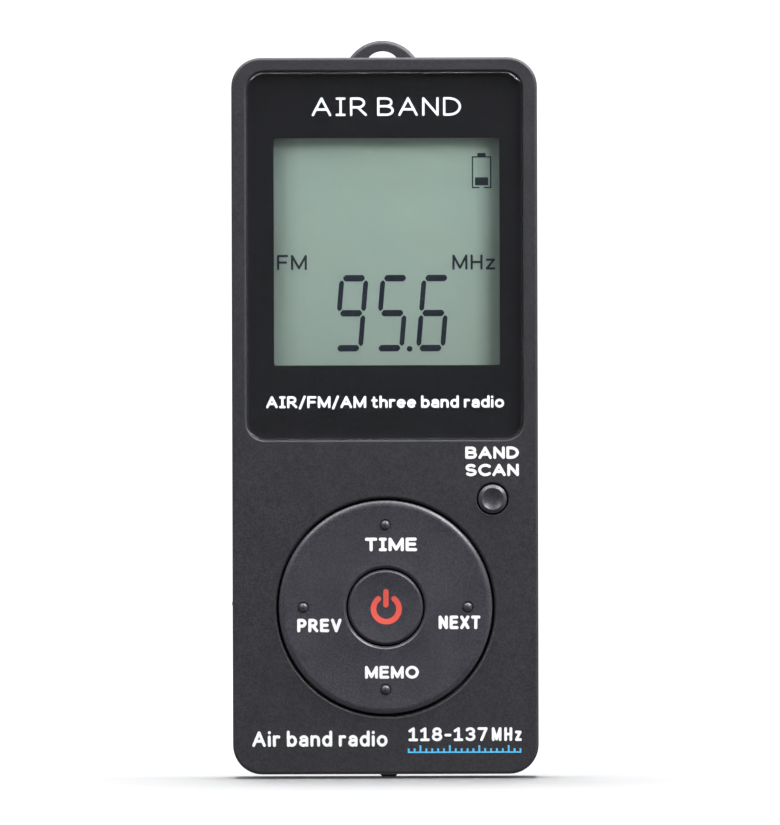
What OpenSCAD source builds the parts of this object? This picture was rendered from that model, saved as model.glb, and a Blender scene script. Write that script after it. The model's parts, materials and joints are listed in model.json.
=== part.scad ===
// Pocket air band radio. It stands upright on its latch tab, +Z up, with its display facing -Y.
// The origin is under the middle of the case, on the surface that the radio stands on.

/* [Case] */
// Width of the case
body_w = 42; // [42:0.25:44]
// Height of the case without the lanyard loop
body_h = 98.4; // [98.4:0.2:101]
// Depth of the case from front face to back face
body_d = 19; // [19:0.25:22]
// Radius of the case corners, seen from the front
corner_r = 4.05; // [3.6:0.05:4.5]
// Rounding of the front and back edges
edge_r = 0.4; // [0.3:0.1:1.2]
// Thickness of the case walls
wall = 2; // [1.9:0.05:2.1]

/* [Display] */
// Width of the display lens
lens_w = 37.75; // [36:0.25:37.75]
// Height of the display lens
lens_h = 50.4; // [49:0.2:50.4]
// Corner radius of the display lens
lens_r = 2.4; // [1.5:0.1:3]
// Width of the clear window in the black print
window_w = 31; // [29:0.5:31]
// Height of the clear window in the black print
window_h = 31.2; // [29:0.2:31.2]
// How far the display glass lies behind the black print
display_depth = 1.4; // [1.2:0.1:1.5]

/* [Keys] */
// Radius of the four-way ring
ring_r = 14.65; // [14:0.05:14.8]
// Radius of the power button in its middle
power_r = 5.15; // [4.8:0.05:5.3]
// Radius of the small band and scan button
band_r = 1.95; // [1.7:0.05:2.1]
// How far the keys stand out of the front face
key_proud = 0.45; // [0.2:0.05:0.6]
// Gap round the ring
ring_gap = 0.3; // [0.25:0.05:0.35]
// How far a button can be pressed
key_travel = 0.25; // [0.15:0.05:0.25]

/* [Battery] */
// Radius of an AAA cell with its jacket
cell_r = 5.25; // [5.1:0.05:5.25]
// Length of an AAA cell with its positive cap
cell_len = 44.5; // [43.5:0.1:44.5]

/* [Earphone socket] */
// Bore of the socket for a 3.5 mm plug
jack_bore_r = 1.85; // [1.8:0.05:1.95]
// Depth of that bore
jack_bore_len = 14; // [12:0.5:14]

/* [Hidden] */
$fn = 72;
// Extra length that lets a cutting shape run clear of the surface it cuts
cut = 1;

// Colours
case_tone = "#38373c";
key_tone = "#444348";
glass_black = "#151518";
clear_glass = "#c9d6dc";
board_green = "#2d6b3c";
steel = "#b9bcc0";
spring_steel = "#9a9da3";
brass_tone = "#c9a659";
chip_black = "#202022";
ferrite_grey = "#3b3a39";
copper = "#b06a37";

// Planes from the front face to the back face
front_y = -body_d / 2;
back_y = body_d / 2;
split_y = 1.5;
seam_w = 0.25;
seam_depth = 0.2;
front_inner_y = front_y + wall;
back_inner_y = back_y - wall;

// Heights: the latch tab is the lowest point
latch_drop = 0.6;
base_z = latch_drop;
top_z = base_z + body_h;
mid_z = base_z + body_h / 2;
inner_half_w = body_w / 2 - wall;

// Rounding of the rims of the openings in the front face
lens_rim = 0.25;
ring_rim = 0.4;
band_rim = 0.25;

// Display stack
lens_gap = 0.15;
lens_proud = 0.1;
pocket_depth = 1.3;
lens_z = top_z - 2 - lens_h / 2;
pocket_y = front_y + pocket_depth;
adhesive_t = 0.1;
mask_t = 0.1;
mask_front_y = pocket_y - adhesive_t - mask_t;
lens_back_y = mask_front_y - 0.03;
window_r = 0.3;
window_x = 0.3;
window_z = lens_z + 0.55;
opening_margin = 1.1;
opening_r = 1;
lens_ease = 0.3;
mask_inset = 0.05;
adhesive_inset = 0.3;
lcd_y = pocket_y - adhesive_t + display_depth;
polariser_t = 0.2;
glass_t = 0.6;
reflector_t = 0.15;
light_guide_t = 0.8;
groove_pitch = 4;
groove_w = 0.4;
groove_depth = 0.15;
led_spread = 8;
lcd_w = 34;
lcd_top_z = window_z + window_h / 2 + 2.6;
lcd_ledge_z = window_z - window_h / 2 - 0.6;
lcd_bottom_z = lcd_ledge_z - 3.3;
reflector_y = lcd_y + polariser_t + 2 * glass_t;

// Circuit board
board_front_y = front_y + 5;
board_t = 1;
board_back_y = board_front_y + board_t;
board_edge_gap = 0.4;

// Four-way ring and the round keys
ring_z = base_z + 22.93;
ring_hole_r = ring_r + ring_gap;
key_face_y = front_y - key_proud;
ring_bevel = 0.75;
ring_bevel_drop = 0.55;
ring_dish = 0.15;
power_hole_r = power_r + 0.25;
inner_bevel = 0.35;
ring_mid_r = (power_hole_r + inner_bevel + ring_r - ring_bevel) / 2;
ring_face_half = ring_mid_r - power_hole_r - inner_bevel;
ring_under_y = front_y + 1.1;
ring_skirt_y = front_y + 1.7;
ring_flange_y = front_y + 2.5;
ring_flange_t = 0.5;
ring_flange_r = ring_r + 0.95;
plunger_top_y = front_y + 2.6;
plunger_end_y = front_y + 4.1;
plunger_r = 1.2;
stem_circle_r = 10;
stem_r = 1.6;
ring_wall = 1.1;
dot_circle_r = 11.3;
dot_r = 0.6;
dot_h = 0.35;
moat_w = 0.22;
moat_depth = 0.15;
power_bevel = 0.3;
power_dish_r = power_r - power_bevel - 0.1;
power_dish = 0.35;
band_x = 14.74;
band_z = base_z + 37.75;
band_hole_r = band_r + 0.2;
band_bevel = 0.4;
band_dish_r = band_r - band_bevel - 0.1;
band_dish = 0.4;
band_flange = 0.75;

// Tact switches on the front of the board
switch_w = 5.2;
switch_front_y = board_front_y - 1.2;
switch_bore_r = 1.4;
switch_bore_y = plunger_end_y + key_travel + 0.3;

// Battery bay
bay_half_w = 11.3;
bay_wall = 0.9;
bay_floor_t = 0.7;
bay_floor_y = board_back_y + 0.1;
bay_low_z = base_z + 6.55;
bay_high_z = bay_low_z + 48.4;
cell_x = 5.6;
cell_y = bay_floor_y + bay_floor_t + 0.05 + cell_r;
contact_t = 0.3;
contact_half_w = 4;
contact_low_y = cell_y - 3.4;
contact_high_y = cell_y + 3.4;
nub_r = 1.9;
nub_h = 1.2;
button_h = 0.6;
spring_wire_r = 0.28;
left_cell_z = bay_high_z - contact_t - button_h - cell_len;
right_cell_z = bay_low_z + contact_t + button_h;

// Battery door
door_half_w = 13;
door_gap = 0.15;
door_t = 1.4;
door_y = back_y - door_t;
door_top_z = bay_high_z + 0.7;
door_ledge_y = door_y - 0.1;
hook_x = 8;
hook_half_w = 1.5;
hook_y = back_y - 2.6;
hook_t = 1;
hook_top_z = door_top_z + 1.5;
hook_low_z = door_top_z - 1.7;
grip_r = 0.6;
grip_pitch = 1.6;
grip_len = 12;
latch_x = 0.4;
latch_half_w = 1.4;
latch_taper = 0.47;
latch_front_y = 4.4;
latch_top_z = base_z + 0.75;

// Case screws
post_inset_x = 4.8;
post_inset_z = 4.25;
post_x = body_w / 2 - post_inset_x;
post_low_z = base_z + post_inset_z;
post_high_z = top_z - post_inset_z;
post_r = 2.6;
front_post_r = 2.3;
screw_seat_y = back_y - 3.1;
screw_r = 1;
screw_head_r = 1.75;
screw_tip_y = -2;

// Board screws: their x and z
board_screw_spots = [[-16.4, base_z + 43.95], [16.4, base_z + 43.95], [0, base_z + 4.05]];
board_screw_r = 0.75;
board_screw_head_r = 1.3;
board_post_r = 1.8;

// Speaker
speaker_z = base_z + 71.65;
speaker_r = 14;
speaker_hole_r = 0.65;
speaker_hole_pitch = 2.7;
speaker_gap = 0.15;
speaker_wall = 0.95;
cloth_y = back_inner_y - 0.2;
gasket_y = cloth_y - 0.6;
basket_y = gasket_y - 0.6;
basket_floor_y = basket_y - 3.2;
magnet_y = basket_floor_y - 1.7;

// Earphone jack
jack_x = 8.5;
jack_y = board_back_y + 2.4;
jack_half = 2.4;
jack_collar_r = 2.3;
jack_top_z = top_z - 0.1;

// Lanyard loop
loop_x = -0.2;
loop_y = 1.5;
loop_r = 5.5;
loop_rise = 2.5;
loop_half_w = 4.6;
loop_depth = 3;
loop_corner = 0.55;
loop_center_z = top_z + loop_rise - loop_r;
loop_foot_z = top_z - wall - 1.4;
loop_foot_t = 1.3;
loop_foot_margin = 0.8;
eye_half_w = 2.1;
eye_rise = 1.1;
eye_r = (eye_half_w * eye_half_w + eye_rise * eye_rise) / (2 * eye_rise);
trough_half_w = eye_half_w;
trough_half_y = 3.9;
trough_depth = 1.45;

// Volume rocker on the right side
rocker_z = base_z + 68.65;
rocker_len = 14;
rocker_h = 3.6;
rocker_y = board_back_y + 2;
rocker_flange_x = body_w / 2 - 3.1;
volume_switch_x = rocker_flange_x - 0.5;
volume_spread = 4.5;

// Hold slider on the left side
hold_z = base_z + 23.4;
hold_len = 6;
hold_y = board_back_y + 1.7;
hold_travel = 2;
hold_slot_margin = 0.25;

// Ferrite rod
rod_x = body_w / 2 - 5.3;
rod_y_mid = 3.6;
rod_r = 2.25;
rod_low_z = base_z + 8.65;
rod_high_z = rod_low_z + 44;

// ---------- building blocks ----------

// Moves a shape to x and z on the front
module at(x, z) {
    translate([x, 0, z]) children();
}

// Extrudes a shape drawn in x and z from y0 back to y1
module slab(y0, y1) {
    translate([0, y1, 0]) rotate([90, 0, 0]) linear_extrude(y1 - y0) children();
}

// Extrudes a shape drawn in y and z from x0 to x1
module side_slab(x0, x1) {
    translate([x0, 0, 0]) rotate([90, 0, 90]) linear_extrude(x1 - x0) children();
}

// Round bar along y
module bar_y(r, y0, y1) {
    translate([0, y1, 0]) rotate([90, 0, 0]) cylinder(r = r, h = y1 - y0);
}

// Box between its lowest and highest corners
module block(low, high) {
    translate(low) cube(high - low);
}

// Turns a profile of [radius, distance towards the front] points about the y axis
module turned(points) {
    rotate([90, 0, 0]) rotate_extrude() polygon(points);
}

// Ball that cuts a dish of radius r and depth deep into a face at y = face_y
module dish_ball(r, deep, face_y) {
    ball_r = (r * r + deep * deep) / (2 * deep);
    translate([0, face_y + deep - ball_r, 0]) sphere(ball_r, $fn = 160);
}

module round_rect(w, h, r) {
    square([w - 2 * r, h], center = true);
    square([w, h - 2 * r], center = true);
    for (sx = [-1, 1], sz = [-1, 1]) translate([sx * (w / 2 - r), sz * (h / 2 - r)]) circle(r);
}

module quarter_disc(r) {
    intersection() {
        circle(r);
        square(r);
    }
}

// Rounded rectangle w by h, d deep from y = 0, with its front edge rounded by e
module eased_block(w, h, d, r, e) {
    slab(e, d) round_rect(w, h, r);
    slab(0, e) round_rect(w - 2 * e, h - 2 * e, r - e);
    rotate([90, 0, 0]) for (k = [0:3]) {
        across = (k % 2 == 0) ? w : h;
        along = (k % 2 == 0) ? h : w;
        rotate(90 * k) {
            translate([across / 2 - e, 0, -e]) rotate([90, 0, 0])
                linear_extrude(along - 2 * r, center = true) quarter_disc(e);
            translate([across / 2 - r, along / 2 - r, 0])
                rotate_extrude(angle = 90) translate([r - e, -e]) quarter_disc(e);
        }
    }
}

// Cutting profile that rounds the rim of an opening by e: the opening is at x < 0, the face at y = 0
module rim_profile(e) {
    difference() {
        translate([-0.1, -e]) square([e + 0.1, e + 0.5]);
        translate([e, -e]) circle(e);
    }
}

// Cutter that rounds the rim of a round hole in the front face
module round_rim(r, e) {
    translate([0, front_y, 0]) rotate([90, 0, 0]) rotate_extrude() translate([r, 0]) rim_profile(e);
}

// Cutter that rounds the rim of a rounded rectangular opening in the front face
module rect_rim(w, h, r, e) {
    translate([0, front_y, 0]) rotate([90, 0, 0]) for (k = [0:3]) {
        across = (k % 2 == 0) ? w : h;
        along = (k % 2 == 0) ? h : w;
        rotate(90 * k) {
            translate([across / 2, 0, 0]) rotate([90, 0, 0])
                linear_extrude(along - 2 * r, center = true) rim_profile(e);
            translate([across / 2 - r, along / 2 - r, 0])
                rotate_extrude(angle = 90) translate([r, 0]) rim_profile(e);
        }
    }
}

// Outer form of the back half of the case
module back_block() {
    translate([0, back_y, mid_z]) mirror([0, 1, 0])
        eased_block(body_w, body_h, back_y - split_y, corner_r, edge_r);
}

module case_outline(inset) {
    round_rect(body_w - 2 * inset, body_h - 2 * inset, corner_r - inset);
}

module at_posts() {
    for (s = [-1, 1], z = [post_low_z, post_high_z]) at(s * post_x, z) children();
}

module at_board_screws() {
    for (p = board_screw_spots) at(p[0], p[1]) children();
}

// Opening in the top wall for the lanyard loop, with a trough for the cord through it
module loop_cut() {
    half = loop_half_w + door_gap;
    half_y = loop_depth / 2 + 0.1;
    block([loop_x - half, loop_y - half_y, top_z - wall - cut],
        [loop_x + half, loop_y + half_y, top_z + cut]);
    block([loop_x - trough_half_w, loop_y - trough_half_y, top_z - trough_depth],
        [loop_x + trough_half_w, loop_y + trough_half_y, top_z + cut]);
}

// ---------- case ----------

module front_shell() {
    color(case_tone) difference() {
        union() {
            difference() {
                translate([0, front_y, mid_z])
                    eased_block(body_w, body_h, split_y - front_y, corner_r, edge_r);
                at(0, mid_z) slab(front_inner_y, split_y + cut) case_outline(wall);
            }
            at_posts() bar_y(front_post_r, front_inner_y - 0.1, split_y);
            at_board_screws() bar_y(board_post_r, front_inner_y - 0.1, board_front_y);
        }
        at(0, lens_z) slab(front_y - cut, pocket_y)
            round_rect(lens_w + 2 * lens_gap, lens_h + 2 * lens_gap, lens_r + lens_gap);
        at(0, lens_z) rect_rim(lens_w + 2 * lens_gap, lens_h + 2 * lens_gap, lens_r + lens_gap, lens_rim);
        at(window_x, window_z) slab(pocket_y - cut, front_inner_y + cut)
            round_rect(window_w + 2 * opening_margin, window_h + 2 * opening_margin, opening_r);
        at(0, ring_z) bar_y(ring_hole_r, front_y - cut, front_inner_y + cut);
        at(0, ring_z) round_rim(ring_hole_r, ring_rim);
        at(band_x, band_z) bar_y(band_hole_r, front_y - cut, front_inner_y + cut);
        at(band_x, band_z) round_rim(band_hole_r, band_rim);
        at_posts() bar_y(screw_r + 0.02, screw_tip_y - 1, split_y + cut);
        at_board_screws() bar_y(board_screw_r + 0.02, front_inner_y + 0.4, board_front_y + cut);
        translate([0, rocker_y, rocker_z]) side_slab(inner_half_w - 0.5, body_w / 2 + cut)
            round_rect(rocker_h + 0.3, rocker_len + 0.5, 1.55);
        hold_slot();
        translate([jack_x, jack_y, top_z - wall - cut]) cylinder(r = jack_collar_r + 0.1, h = wall + 2 * cut);
        loop_cut();
    }
}

module hold_slot() {
    low = hold_z - hold_len / 2 - hold_slot_margin;
    high = hold_z + hold_len / 2 + hold_travel + hold_slot_margin;
    block([-body_w / 2 - cut, hold_y - 1.6, low], [-inner_half_w + cut / 2, hold_y + 1.6, high]);
}

module speaker_holes() {
    bar_y(speaker_hole_r, back_inner_y - cut, back_y + cut);
    for (ring = [1:4]) {
        count = 6 * ring;
        for (k = [0:count - 1])
            rotate([0, 360 * k / count, 0]) translate([speaker_hole_pitch * ring, 0, 0])
                bar_y(speaker_hole_r, back_inner_y - cut, back_y + cut, $fn = 24);
    }
}

module battery_bay() {
    difference() {
        block([-bay_half_w - bay_wall, bay_floor_y, bay_low_z - bay_wall],
            [bay_half_w + bay_wall, back_inner_y + 0.1, bay_high_z + bay_wall]);
        block([-bay_half_w, bay_floor_y + bay_floor_t, bay_low_z],
            [bay_half_w, back_y + cut, bay_high_z]);
    }
}

module rear_shell() {
    color(case_tone) difference() {
        union() {
            difference() {
                union() {
                    intersection() {
                        back_block();
                        block([-body_w, split_y + seam_w, -cut], [body_w, back_y + cut, top_z + cut]);
                    }
                    at(0, mid_z) slab(split_y, split_y + seam_w) case_outline(seam_depth);
                }
                at(0, mid_z) slab(split_y - cut, back_inner_y) case_outline(wall);
            }
            battery_bay();
            at_posts() bar_y(post_r, split_y, back_inner_y + 0.1);
            at(0, speaker_z) difference() {
                bar_y(speaker_r + speaker_gap + speaker_wall, basket_y - 1, back_inner_y + 0.1);
                bar_y(speaker_r + speaker_gap, basket_y - 1 - cut, back_inner_y);
            }
        }
        block([-door_half_w - door_gap, door_ledge_y, -cut],
            [door_half_w + door_gap, back_y + cut, door_top_z + door_gap]);
        block([-bay_half_w, bay_floor_y + bay_floor_t, bay_low_z], [bay_half_w, back_y + cut, bay_high_z]);
        for (s = [-1, 1]) {
            block([s * hook_x - hook_half_w - 0.3, hook_y - 0.7, hook_low_z - 0.3],
                [s * hook_x + hook_half_w + 0.3, hook_y + hook_t + 0.2, hook_top_z + 0.3]);
        }
        block([latch_x - latch_half_w - 0.3, latch_front_y - 0.3, -cut],
            [latch_x + latch_half_w + 0.3, door_y + 0.1, latch_top_z + 0.4]);
        at_posts() bar_y(screw_r + 0.15, split_y - cut, screw_seat_y + cut);
        at_posts() bar_y(screw_head_r + 0.35, screw_seat_y, back_y + cut);
        at(0, speaker_z) speaker_holes();
        loop_cut();
    }
}

// Clear part of the loop, between its arch and its foot
module loop_eye() {
    intersection() {
        translate([0, top_z + eye_rise - eye_r]) circle(eye_r);
        translate([-loop_half_w, top_z]) square([2 * loop_half_w, loop_rise]);
    }
    translate([-eye_half_w, loop_foot_z + loop_foot_t])
        square([2 * eye_half_w, top_z - loop_foot_z - loop_foot_t + 0.01]);
}

module lanyard_loop() {
    foot_half_w = loop_half_w + loop_foot_margin;
    foot_half_y = loop_depth / 2 + loop_foot_margin;
    color(case_tone) translate([loop_x, loop_y, 0]) {
        difference() {
            intersection() {
                translate([0, 0, loop_center_z]) rotate([90, 0, 0]) rotate_extrude() intersection() {
                    round_rect(2 * loop_r, loop_depth, loop_corner);
                    translate([0, -loop_depth]) square([loop_r + cut, 2 * loop_depth]);
                }
                block([-loop_half_w, -loop_depth, loop_foot_z + loop_foot_t / 2],
                    [loop_half_w, loop_depth, top_z + loop_rise + cut]);
            }
            slab(-loop_depth, loop_depth) loop_eye();
        }
        block([-foot_half_w, -foot_half_y, loop_foot_z],
            [foot_half_w, foot_half_y, loop_foot_z + loop_foot_t]);
    }
}

// ---------- display ----------

module lens_outline(inset) {
    round_rect(lens_w - 2 * inset, lens_h - 2 * inset, lens_r - inset);
}

module display_lens() {
    color(clear_glass, 0.5) translate([0, front_y - lens_proud, lens_z])
        eased_block(lens_w, lens_h, lens_back_y - front_y + lens_proud, lens_r, lens_ease);
}

module lens_mask() {
    color(glass_black) difference() {
        at(0, lens_z) slab(mask_front_y, mask_front_y + mask_t) lens_outline(mask_inset);
        at(window_x, window_z) slab(mask_front_y - cut, pocket_y)
            round_rect(window_w, window_h, window_r);
    }
}

module lens_adhesive() {
    color("#26282a") difference() {
        at(0, lens_z) slab(pocket_y - adhesive_t, pocket_y) lens_outline(adhesive_inset);
        at(window_x, window_z) slab(pocket_y - cut, pocket_y + cut)
            round_rect(window_w + 2 * opening_margin, window_h + 2 * opening_margin, opening_r);
    }
}

module lcd_polariser() {
    color("#93a89b") at(window_x, (lcd_ledge_z + lcd_top_z) / 2)
        slab(lcd_y, lcd_y + polariser_t) square([lcd_w - 0.6, lcd_top_z - lcd_ledge_z - 0.2], center = true);
}

module lcd_panel() {
    glass_y = lcd_y + polariser_t;
    half = lcd_w / 2;
    color("#8fa396") {
        block([window_x - half, glass_y, lcd_bottom_z], [window_x + half, glass_y + glass_t, lcd_top_z]);
        block([window_x - half, glass_y + glass_t, lcd_ledge_z], [window_x + half, reflector_y, lcd_top_z]);
    }
}

module lcd_reflector() {
    half = lcd_w / 2 - 0.2;
    color("#c9cfca") block([window_x - half, reflector_y, lcd_ledge_z + 0.2],
        [window_x + half, reflector_y + reflector_t, lcd_top_z - 0.2]);
}

module light_guide() {
    half = lcd_w / 2 - 0.1;
    guide_y = reflector_y + reflector_t;
    color("#e4ece9") difference() {
        block([window_x - half, guide_y, lcd_ledge_z + 0.1],
            [window_x + half, guide_y + light_guide_t, lcd_top_z - 0.1]);
        for (z = [lcd_ledge_z + groove_pitch:groove_pitch:lcd_top_z - groove_pitch / 2])
            block([window_x - half + 2, guide_y + light_guide_t - groove_depth, z],
                [window_x + half - 2, guide_y + light_guide_t + cut, z + groove_w]);
    }
}

module backlight_leds() {
    low_x = window_x - lcd_w / 2 - 1.4;
    color("#f2efd8") for (z = [window_z - led_spread, window_z + led_spread]) {
        difference() {
            block([low_x, board_front_y - 0.8, z - 1.5], [low_x + 1.3, board_front_y, z + 1.5]);
            translate([low_x + 1.3, board_front_y - 0.4, z]) rotate([0, 90, 0])
                cylinder(r = 0.28, h = 0.8, center = true, $fn = 24);
        }
    }
}

module lcd_holder() {
    half = lcd_w / 2 + 0.1;
    low = lcd_bottom_z - 0.1;
    high = lcd_top_z + 0.1;
    frame_y = front_inner_y + 0.05;
    color("#dedede") difference() {
        block([-inner_half_w + 0.4, frame_y, low - 1.1], [inner_half_w - 0.4, board_front_y, high + 1.1]);
        block([window_x - half, lcd_y + polariser_t - 0.1, low],
            [window_x + half, board_front_y + cut, high]);
        block([window_x - window_w / 2 - 0.4, frame_y - cut, window_z - window_h / 2 - 0.4],
            [window_x + window_w / 2 + 0.4, board_front_y, window_z + window_h / 2 + 0.4]);
        block([window_x - half + 0.1, lcd_y - 0.02, lcd_ledge_z - 0.2],
            [window_x + half - 0.1, board_front_y, lcd_top_z]);
        for (z = [window_z - led_spread, window_z + led_spread])
            block([window_x - half - 1.4, board_front_y - 0.95, z - 1.6],
                [window_x - half + cut, board_front_y + cut, z + 1.6]);
    }
}

module zebra_strip() {
    strip_y = lcd_y + polariser_t + glass_t;
    half = 14;
    color("#d98f9a") block([window_x - half, strip_y, lcd_bottom_z + 0.3],
        [window_x + half, board_front_y, lcd_ledge_z - 0.4]);
}

// ---------- circuit board ----------

module main_pcb() {
    color(board_green) difference() {
        at(0, mid_z) slab(board_front_y, board_back_y)
            round_rect(body_w - 2 * wall - 2 * board_edge_gap, body_h - 2 * wall - 1, 1.6);
        at_posts() bar_y(front_post_r + 0.3, board_front_y - cut, board_back_y + cut);
        at_board_screws() bar_y(board_screw_r + 0.15, board_front_y - cut, board_back_y + cut);
    }
}

// Chip body with a row of legs along two sides, standing on the back of the board
module chip(w, h, t, legs, pitch) {
    block([-w / 2, board_back_y + 0.1, -h / 2], [w / 2, board_back_y + 0.1 + t, h / 2]);
    for (s = [-1, 1], k = [0:legs - 1]) {
        z = (k - (legs - 1) / 2) * pitch;
        low_x = (s > 0) ? w / 2 - 0.2 : -w / 2 - 0.9;
        block([low_x, board_back_y, z - 0.15], [low_x + 1.1, board_back_y + 0.35, z + 0.15]);
    }
}

module tuner_chip() {
    color(chip_black) at(7.5, base_z + 74.65) chip(5.4, 8.2, 1.5, 12, 0.65);
}

module controller_chip() {
    color(chip_black) at(-6.5, base_z + 83.65) {
        chip(10, 10, 1.3, 12, 0.75);
        rotate([0, 90, 0]) chip(10, 10, 1.3, 12, 0.75);
    }
}

module amplifier_chip() {
    color(chip_black) at(-8, base_z + 64.65) chip(4, 5, 1.5, 4, 1.27);
}

module clock_crystal() {
    color(steel) at(-14.5, base_z + 71.65) {
        translate([0, board_back_y + 1.05, -3]) cylinder(r = 1, h = 6);
        for (s = [-1, 1]) translate([s * 0.4, board_back_y + 1.05, -4.5])
            cylinder(r = 0.15, h = 1.6, $fn = 24);
    }
}

// Can with a bead groove round its lower end
module capacitor(r, h) {
    turned([[0, 0], [r, 0], [r, -1], [r - 0.25, -1.3], [r, -1.6], [r, -h + 0.3], [r - 0.3, -h], [0, -h]]);
}

module electrolytic_capacitors() {
    color("#2c3550") translate([0, board_back_y, base_z]) {
        at(-15.6, 34.2) capacitor(2.4, 6.5);
        at(-15.6, 39.5) capacitor(2.4, 6.5);
        at(-15.6, 12.2) capacitor(2, 5.4);
        at(1, 91.5) capacitor(2, 4);
    }
}

module surface_mount_parts() {
    color("#c9b08a") for (row = [0:2], k = [0:4]) {
        x = -12 + 5.5 * k;
        z = base_z + 57 + 1.5 * row;
        block([x, board_back_y, z], [x + 1.6, board_back_y + 0.6, z + 0.8]);
    }
}

// ---------- switches ----------

// Tact switch on the front of the board, open at the front for its plunger
module tact_switch() {
    half = switch_w / 2;
    difference() {
        union() {
            block([-half, switch_front_y + 0.2, -half], [half, board_front_y - 0.1, half]);
            slab(switch_front_y, switch_front_y + 0.2) round_rect(switch_w - 0.3, switch_w - 0.3, 0.6);
            for (sx = [-1, 1], sz = [-1, 1])
                block([sx * (half + 0.1) - 0.5, board_front_y - 0.3, sz * 1.6 - 0.4],
                    [sx * (half + 0.1) + 0.5, board_front_y, sz * 1.6 + 0.4]);
        }
        bar_y(switch_bore_r, switch_front_y - cut, switch_bore_y);
    }
}

module time_switch() {
    color(steel) at(0, ring_z + stem_circle_r) tact_switch();
}

module memo_switch() {
    color(steel) at(0, ring_z - stem_circle_r) tact_switch();
}

module prev_switch() {
    color(steel) at(-stem_circle_r, ring_z) tact_switch();
}

module next_switch() {
    color(steel) at(stem_circle_r, ring_z) tact_switch();
}

module power_switch() {
    color(steel) at(0, ring_z) tact_switch();
}

module band_scan_switch() {
    color(steel) at(band_x, band_z) difference() {
        union() {
            slab(switch_front_y, board_front_y) round_rect(3.6, 3.6, 0.5);
            block([-2.1, board_front_y - 0.3, -1], [2.1, board_front_y, 1]);
        }
        bar_y(1.15, switch_front_y - cut, switch_bore_y);
    }
}

// Side-acting switch on the back of the board, open to the right for its plunger
module side_switch(z) {
    color(steel) translate([0, 0, z]) difference() {
        block([volume_switch_x - 3, board_back_y, -2.4], [volume_switch_x, rocker_y + 1.8, 2.4]);
        translate([volume_switch_x - 0.9, rocker_y, 0]) rotate([0, 90, 0]) cylinder(r = 1, h = 0.9 + cut);
    }
}

module volume_up_switch() {
    side_switch(rocker_z + volume_spread);
}

module volume_down_switch() {
    side_switch(rocker_z - volume_spread);
}

module hold_switch() {
    outer_x = -inner_half_w + 1.6;
    color(steel) difference() {
        block([outer_x, board_back_y, hold_z - 4.2], [outer_x + 3.4, hold_y + 1.6, hold_z + 6.2]);
        block([outer_x - cut, hold_y - 0.9, hold_z - 1.1],
            [outer_x + 1.1, hold_y + 0.9, hold_z + hold_travel + 1.1]);
    }
}

// ---------- keys ----------

function ring_face_y(r) = key_face_y + ring_dish * (1 - pow((r - ring_mid_r) / ring_face_half, 2));

// Small round bump on a face at y = face_y
module tactile_dot(face_y) {
    ball_r = (dot_r * dot_r + dot_h * dot_h) / (2 * dot_h);
    translate([0, face_y - dot_h + ball_r, 0]) intersection() {
        sphere(ball_r);
        bar_y(dot_r, -ball_r - cut, -ball_r + 2 * dot_h);
    }
}

// Turned body of the ring with a shallow moat for each bump
module ring_body() {
    steps = 8;
    edge_steps = 6;
    face_low = ring_mid_r - ring_face_half;
    flange_back_y = ring_flange_y + ring_flange_t;
    inner_r = ring_r - ring_wall;
    core_r = power_hole_r + 1;
    difference() {
        turned(concat(
            [[power_hole_r, -ring_skirt_y], [power_hole_r, -key_face_y - power_bevel]],
            [for (k = [0:steps]) let (r = face_low + 2 * ring_face_half * k / steps) [r, -ring_face_y(r)]],
            [for (k = [1:edge_steps]) let (a = 90 * k / edge_steps)
                [ring_r - ring_bevel * (1 - sin(a)), -key_face_y - ring_bevel_drop * (1 - cos(a))]],
            [[ring_r, -ring_flange_y]],
            [[ring_flange_r, -ring_flange_y], [ring_flange_r, -flange_back_y], [inner_r, -flange_back_y]],
            [[inner_r, -ring_under_y], [core_r, -ring_under_y], [core_r, -ring_skirt_y]]
        ));
        for (k = [0:3]) rotate([0, 90 * k, 0]) translate([dot_circle_r, 0, 0])
            bar_y(dot_r + moat_w, key_face_y - cut, ring_face_y(dot_circle_r) + moat_depth);
    }
}

module nav_ring() {
    color(key_tone) at(0, ring_z) {
        ring_body();
        for (k = [0:3]) rotate([0, 90 * k, 0]) {
            translate([stem_circle_r, 0, 0]) bar_y(stem_r, ring_under_y - 0.3, plunger_top_y);
            translate([dot_circle_r, 0, 0]) tactile_dot(ring_face_y(dot_circle_r));
        }
    }
}

// Plungers of the up and down switches, a hair behind the ring so that it can rock sideways over them
module nav_plungers_vertical() {
    color("#e8e4dc") at(0, ring_z) for (s = [-1, 1])
        at(0, s * stem_circle_r) bar_y(plunger_r, plunger_top_y + 0.08, plunger_end_y);
}

module nav_plungers_side() {
    color("#e8e4dc") at(0, ring_z) for (s = [-1, 1])
        at(s * stem_circle_r, 0) bar_y(plunger_r, plunger_top_y, plunger_end_y);
}

module power_button() {
    flange_r = power_r + 0.75;
    flange_y = front_y + 2.4;
    color(key_tone) at(0, ring_z) difference() {
        turned([[0, -plunger_top_y - 0.4], [flange_r, -plunger_top_y - 0.4], [flange_r, -flange_y],
            [power_r, -flange_y], [power_r, -key_face_y - power_bevel],
            [power_r - power_bevel, -key_face_y], [0, -key_face_y]]);
        dish_ball(power_dish_r, power_dish, key_face_y);
    }
}

module power_plunger() {
    color("#e8e4dc") at(0, ring_z) bar_y(plunger_r, plunger_top_y + 0.4, plunger_end_y);
}

module band_scan_button() {
    flange_y = front_inner_y + 0.15;
    flange_r = band_r + band_flange;
    color(key_tone) at(band_x, band_z) difference() {
        turned([[0, -plunger_top_y - 0.2], [flange_r, -plunger_top_y - 0.2], [flange_r, -flange_y],
            [band_r, -flange_y], [band_r, -key_face_y - band_bevel],
            [band_r - band_bevel, -key_face_y], [0, -key_face_y]]);
        dish_ball(band_dish_r, band_dish, key_face_y);
    }
}

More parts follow.
